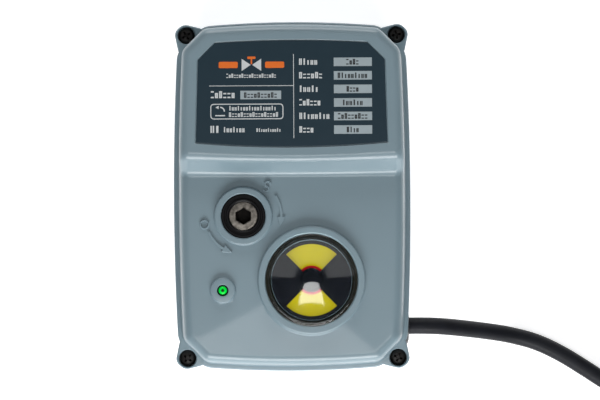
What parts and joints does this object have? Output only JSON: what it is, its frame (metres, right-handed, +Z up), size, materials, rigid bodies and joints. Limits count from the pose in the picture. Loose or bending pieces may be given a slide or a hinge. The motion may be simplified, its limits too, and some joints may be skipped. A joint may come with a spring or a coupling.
{
  "type": "motorized valve actuator",
  "caption": "Compact quarter-turn electric valve actuator with domed position window, manual hexagon override, status lamp and gland-fed cable.",
  "frame": {"origin": "centre of the valve mounting face, on the output drive's axis", "axes": "+Z up the output axis from the valve to the indicator window, +Y along the housing towards the nameplate end, +X towards the cable gland"},
  "size_m": [0.2975, 0.1808, 0.0909],
  "materials": {
    "housing_paint": "satin baked enamel on a die casting, fine orange peel",
    "seal_rubber": "matt black",
    "label_film": "satin printed film",
    "black_screw": "black zinc",
    "clear_lens": "clear moulded window",
    "mask_black": "moulded, fine grain",
    "lamp_green": "translucent moulded lamp",
    "bronze": "sintered bronze",
    "zinc_sheet": "zinc plated sheet",
    "zinc_screw": "bright zinc",
    "motor_steel": "drawn and plated",
    "board_green": "lacquered laminate",
    "standoff_brass": "turned",
    "terminal_green": "moulded",
    "relay_blue": "moulded",
    "black_moulding": "moulded",
    "resistor_ceramic": "unglazed",
    "gland_nylon": "moulded nylon",
    "gland_rubber": "moulded",
    "earth_brass": "nickel washed brass",
    "cable_jacket": "satin extruded jacket",
    "core_insulation": "extruded insulation, one colour each",
    "ferrule_tin": "tinned copper",
    "shaft_steel": "turned and ground",
    "gear_steel": "hobbed, oiled",
    "gear_brass": "hobbed",
    "spring_steel": "phosphated",
    "cam_white": "moulded",
    "cam_grey": "moulded",
    "dial_yellow": "printed",
    "dial_red": "printed",
    "stem_steel": "turned, nickel plated"
  },
  "bodies": {
    "housing": {"base_housing": "housing_paint", "housing_seal": "seal_rubber", "cover": "housing_paint", "nameplate": "label_film", "cover_screws": "black_screw", "window_seal": "seal_rubber", "window_lens": "clear_lens", "window_mask": "mask_black", "override_seal": "seal_rubber", "led_holder": "mask_black", "led_lamp": "lamp_green", "output_bush_lower": "bronze", "output_bush_upper": "bronze", "floor_bushes": "bronze", "plate_bushes": "bronze", "gear_plate": "zinc_sheet", "plate_screws": "zinc_screw", "motor_gearhead": "motor_steel", "motor_can": "motor_steel", "motor_screws": "black_screw", "circuit_board": "board_green", "board_standoffs": "standoff_brass", "board_screws": "zinc_screw", "terminal_block": "terminal_green", "board_relays": "relay_blue", "board_capacitors": "black_moulding", "board_chips": "black_moulding", "heater_resistor": "resistor_ceramic", "switch_bracket": "zinc_sheet", "switch_bodies": "black_moulding", "switch_levers": "zinc_sheet", "switch_screws": "zinc_screw", "gland_body": "gland_nylon", "gland_locknut": "gland_nylon", "gland_bush": "gland_rubber", "gland_nut": "gland_nylon", "earth_screw": "earth_brass", "power_cable": "cable_jacket", "cable_coil": "cable_jacket", "cable_tail": "cable_jacket", "cable_cores": "core_insulation", "core_ferrules": "ferrule_tin", "coil_ties": "gland_nylon"},
    "output": {"output_shaft": "shaft_steel", "output_gear": "gear_steel", "output_circlip": "spring_steel", "drive_key": "shaft_steel", "cam_open": "cam_white", "cam_shut": "cam_grey", "indicator_post": "mask_black", "indicator_dial": "mask_black", "open_sectors": "dial_yellow", "shut_sectors": "dial_red", "indicator_hub": "dial_red"},
    "idler": {"idler_pinion": "shaft_steel", "idler_wheel": "gear_brass", "idler_circlip": "spring_steel"},
    "override": {"override_stem": "stem_steel", "manual_pinion": "gear_steel"},
    "motor_drive": {"motor_pinion": "gear_brass"}
  },
  "joints": [
    {"name": "output_turn", "type": "hinge", "parent": "housing", "child": "output", "pos_m": [0, 0, 0], "axis": [0, 0, 1], "range_deg": [-90, 0]},
    {"name": "idler_turn", "type": "hinge", "parent": "housing", "child": "idler", "pos_m": [-0.00079, 0.03499, 0], "axis": [0, 0, 1], "range_deg": [-1, 271]},
    {"name": "override_turn", "type": "hinge", "parent": "housing", "child": "override", "pos_m": [-0.028, 0.02649, 0], "axis": [0, 0, 1], "range_deg": [-637, 1]},
    {"name": "motor_turn", "type": "hinge", "parent": "housing", "child": "motor_drive", "pos_m": [0.00343, 0.06166, 0], "axis": [0, 0, 1], "range_deg": [-773, 1]}
  ],
  "couplings": [
    {"joint": "idler_turn", "follows": "output_turn", "ratio": -3},
    {"joint": "override_turn", "follows": "output_turn", "ratio": 7.0588},
    {"joint": "motor_turn", "follows": "output_turn", "ratio": 8.5714}
  ]
}
